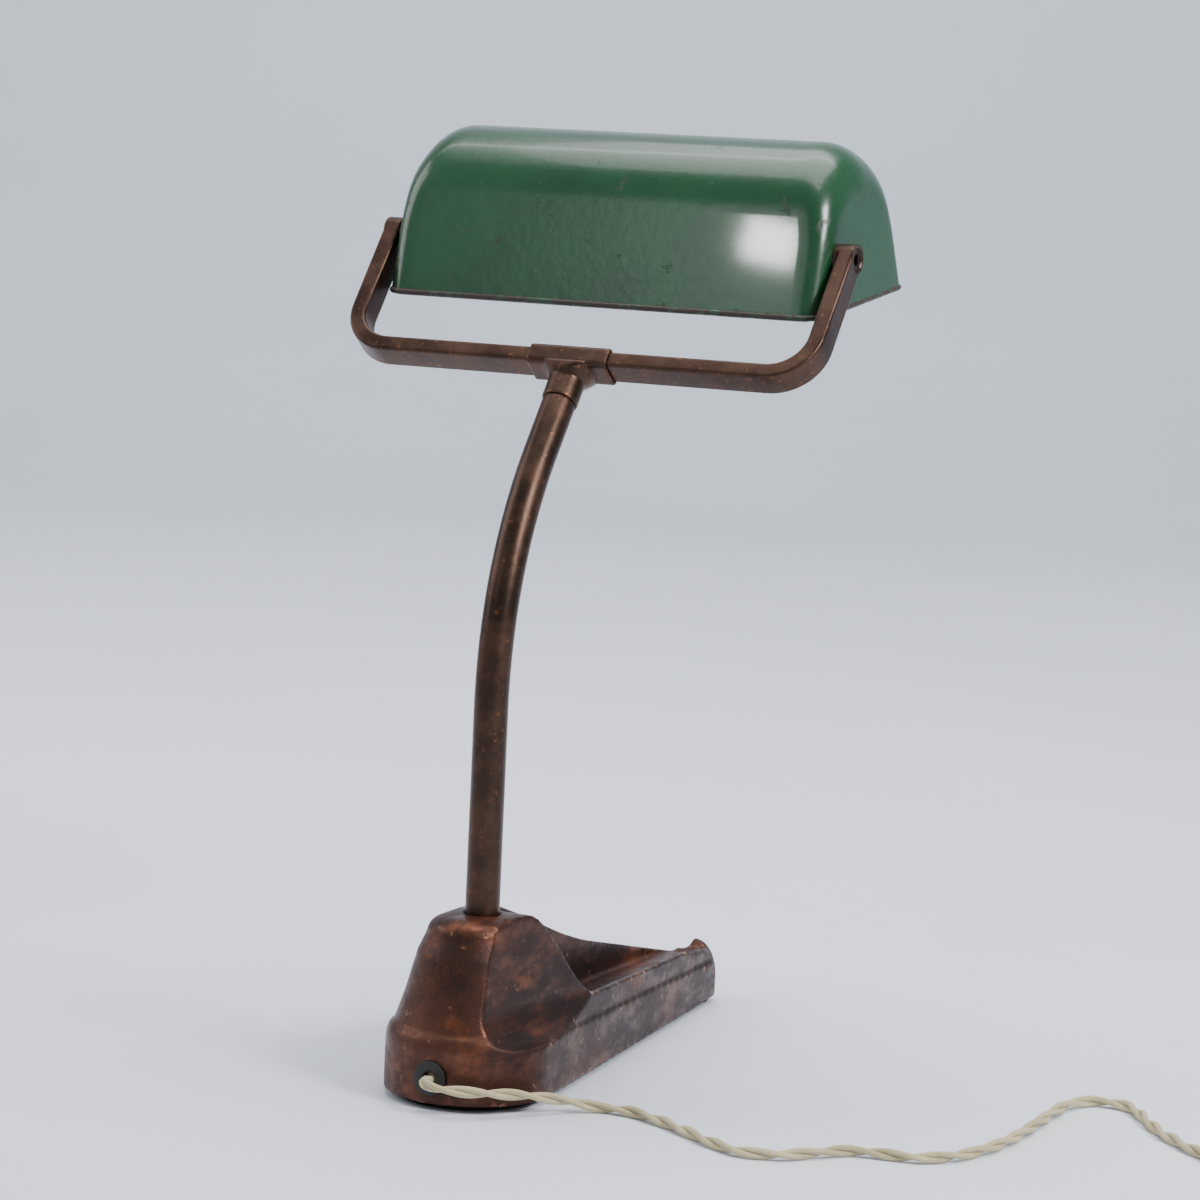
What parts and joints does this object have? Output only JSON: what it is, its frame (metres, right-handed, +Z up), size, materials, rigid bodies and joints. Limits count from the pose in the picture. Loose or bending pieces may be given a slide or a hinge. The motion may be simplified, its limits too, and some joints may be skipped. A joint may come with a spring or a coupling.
{
  "type": "desk lamp",
  "caption": "Desk lamp: a green enamelled trough shade tilts in a U-shaped yoke on a bent tube stem, over a narrow cast base with a pen tray.",
  "frame": {"origin": "centre of the lamp's bounding box, without its cord, on the surface that it stands on", "axes": "+Z up, -Y towards the tray and the shade's open front, X along the shade"},
  "size_m": [0.5914, 0.3156, 0.4435],
  "materials": {
    "base_metal": "cast, copper plated and worn to a mottled dark brown patina",
    "plate_steel": "plain steel sheet, dull",
    "bright_steel": "zinc-plated steel",
    "dark_steel": "darkened steel",
    "felt": "black felt pad",
    "foot_rubber": "black rubber",
    "grommet_rubber": "black rubber, dull",
    "brass": "aged brass",
    "cord_sheath": "cream cotton-braided twisted pair",
    "wire_fabric": "cotton-covered wire",
    "stem_bronze": "dark bronzed tube, coppery where it is worn",
    "tee_bronze": "dark bronzed casting",
    "yoke_bronze": "dark bronzed flat tube, coppery where it is worn",
    "enamel": "glossy dark green stove enamel outside, white inside",
    "holder_moulding": "dark brown moulding",
    "porcelain": "glazed porcelain",
    "bulb_glass": "clear glass",
    "plug_body": "dark brown moulding"
  },
  "bodies": {
    "stand": {"base_casting": "base_metal", "cover_plate": "plate_steel", "cover_screws": "bright_steel", "base_pad": "felt", "front_foot": "foot_rubber", "cord_grommet": "grommet_rubber", "cord_clamp": "plate_steel", "clamp_screw": "brass", "base_lead": "cord_sheath", "stem_tube": "stem_bronze", "stem_washer": "bright_steel", "stem_nut": "bright_steel", "stem_wires": "wire_fabric", "tee_fitting": "tee_bronze", "tee_screw": "dark_steel", "yoke_tube": "yoke_bronze", "arm_lead": "wire_fabric", "cord_run": "cord_sheath", "cord_coil": "cord_sheath", "plug_lead": "cord_sheath", "plug_body": "plug_body", "plug_pins": "brass"},
    "shade": {"shade_shell": "enamel", "pivot_nipple": "brass", "nipple_nut": "bright_steel", "pivot_screw": "dark_steel", "pivot_nut": "bright_steel", "pivot_washers": "dark_steel", "holder_bracket": "plate_steel", "holder_bush": "brass", "shade_lead": "wire_fabric", "holder_cap": "holder_moulding", "holder_body": "holder_moulding", "holder_core": "porcelain", "screw_sleeve": "brass", "centre_contact": "brass", "bulb_glass": "bulb_glass", "bulb_cap": "bright_steel", "bulb_tip": "dark_steel", "bulb_mount": "bulb_glass", "filament": "dark_steel"},
    "key": {"switch_key": "holder_moulding"}
  },
  "joints": [
    {"name": "shade_tilt", "type": "hinge", "parent": "stand", "child": "shade", "pos_m": [0, -0.0086, 0.38978], "axis": [1, 0, 0], "range_deg": [-45, 45]},
    {"name": "switch_turn", "type": "hinge", "parent": "shade", "child": "key", "pos_m": [-0.0845, -0.04205, 0.37172], "axis": [0, 0.1219, 0.9925], "range_deg": [0, 90]}
  ]
}
